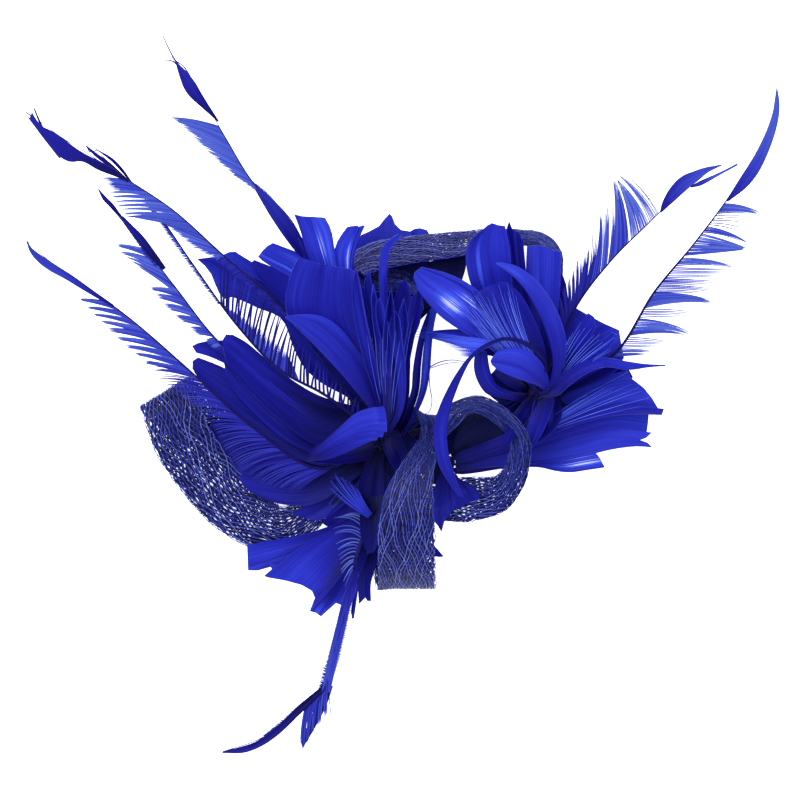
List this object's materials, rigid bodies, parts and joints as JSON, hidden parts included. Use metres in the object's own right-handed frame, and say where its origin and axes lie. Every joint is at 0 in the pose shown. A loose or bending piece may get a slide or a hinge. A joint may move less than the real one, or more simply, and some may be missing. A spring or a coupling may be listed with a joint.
{
  "type": "feather fascinator",
  "caption": "Royal blue feather fascinator: goose-feather flowers, open-barbed plumes and navy sinamay ribbon loops on a felt pad with a hair clip.",
  "frame": {"origin": "centre of the hair clip's flat underside", "axes": "+Z away from the head towards the viewer, +X to the right and +Y up in the picture"},
  "size_m": [0.2272, 0.2156, 0.0576],
  "materials": {
    "feather_petal": "satin",
    "feather_plume": "satin",
    "sinamay": "semi-matte",
    "felt": "matte",
    "clip_steel": "satin"
  },
  "bodies": {
    "root": {"hair_clip": "clip_steel", "felt_pad": "felt", "bound_head_left": "felt", "bound_head_right": "felt", "bound_head_lower": "felt", "bound_head_fan": "felt", "sinamay_loop_left": "sinamay", "sinamay_loop_top": "sinamay", "sinamay_ring_right": "sinamay", "sinamay_loop_centre": "sinamay", "plume_left_top": "feather_plume", "plume_left_upper": "feather_plume", "plume_left_inner": "feather_plume", "plume_left_middle": "feather_plume", "plume_left_long": "feather_plume", "plume_right_upper": "feather_plume", "plume_right_long": "feather_plume", "plume_bottom": "feather_plume", "left_petal_face": "feather_petal", "left_petal_arc": "feather_petal", "left_petal_top": "feather_petal", "left_petal_notch": "feather_petal", "left_petal_broad": "feather_petal", "left_petal_dark": "feather_petal", "left_petal_spur": "feather_petal", "left_petal_low": "feather_petal", "left_petal_base": "feather_petal", "left_petal_lip": "feather_petal", "left_petal_strips": "feather_petal", "left_petal_peak": "feather_petal", "left_strip_curl": "feather_petal", "left_strip_tall": "feather_petal", "left_strip_centre": "feather_petal", "left_strip_right": "feather_petal", "left_strip_pale": "feather_petal", "right_petal_pale": "feather_petal", "right_petal_upright": "feather_petal", "right_petal_spire": "feather_petal", "right_petal_square": "feather_petal", "right_petal_bright": "feather_petal", "right_petal_barbs": "feather_petal", "right_petal_curl": "feather_petal", "right_petal_spray": "feather_petal", "right_petal_leaf": "feather_petal", "right_petal_inner": "feather_petal", "right_petal_shade": "feather_petal", "right_petal_under": "feather_petal", "right_petal_far": "feather_petal", "right_petal_fold": "feather_petal", "right_petal_point": "feather_petal", "right_petal_fan": "feather_petal", "right_petal_skirt": "feather_petal", "right_petal_tail": "feather_petal", "lower_petal_side": "feather_petal", "lower_petal_broad": "feather_petal", "lower_petal_square": "feather_petal", "lower_petal_dark": "feather_petal", "lower_petal_streak": "feather_petal", "lower_petal_scrap": "feather_petal", "lower_petal_spike": "feather_petal"}
  },
  "joints": []
}
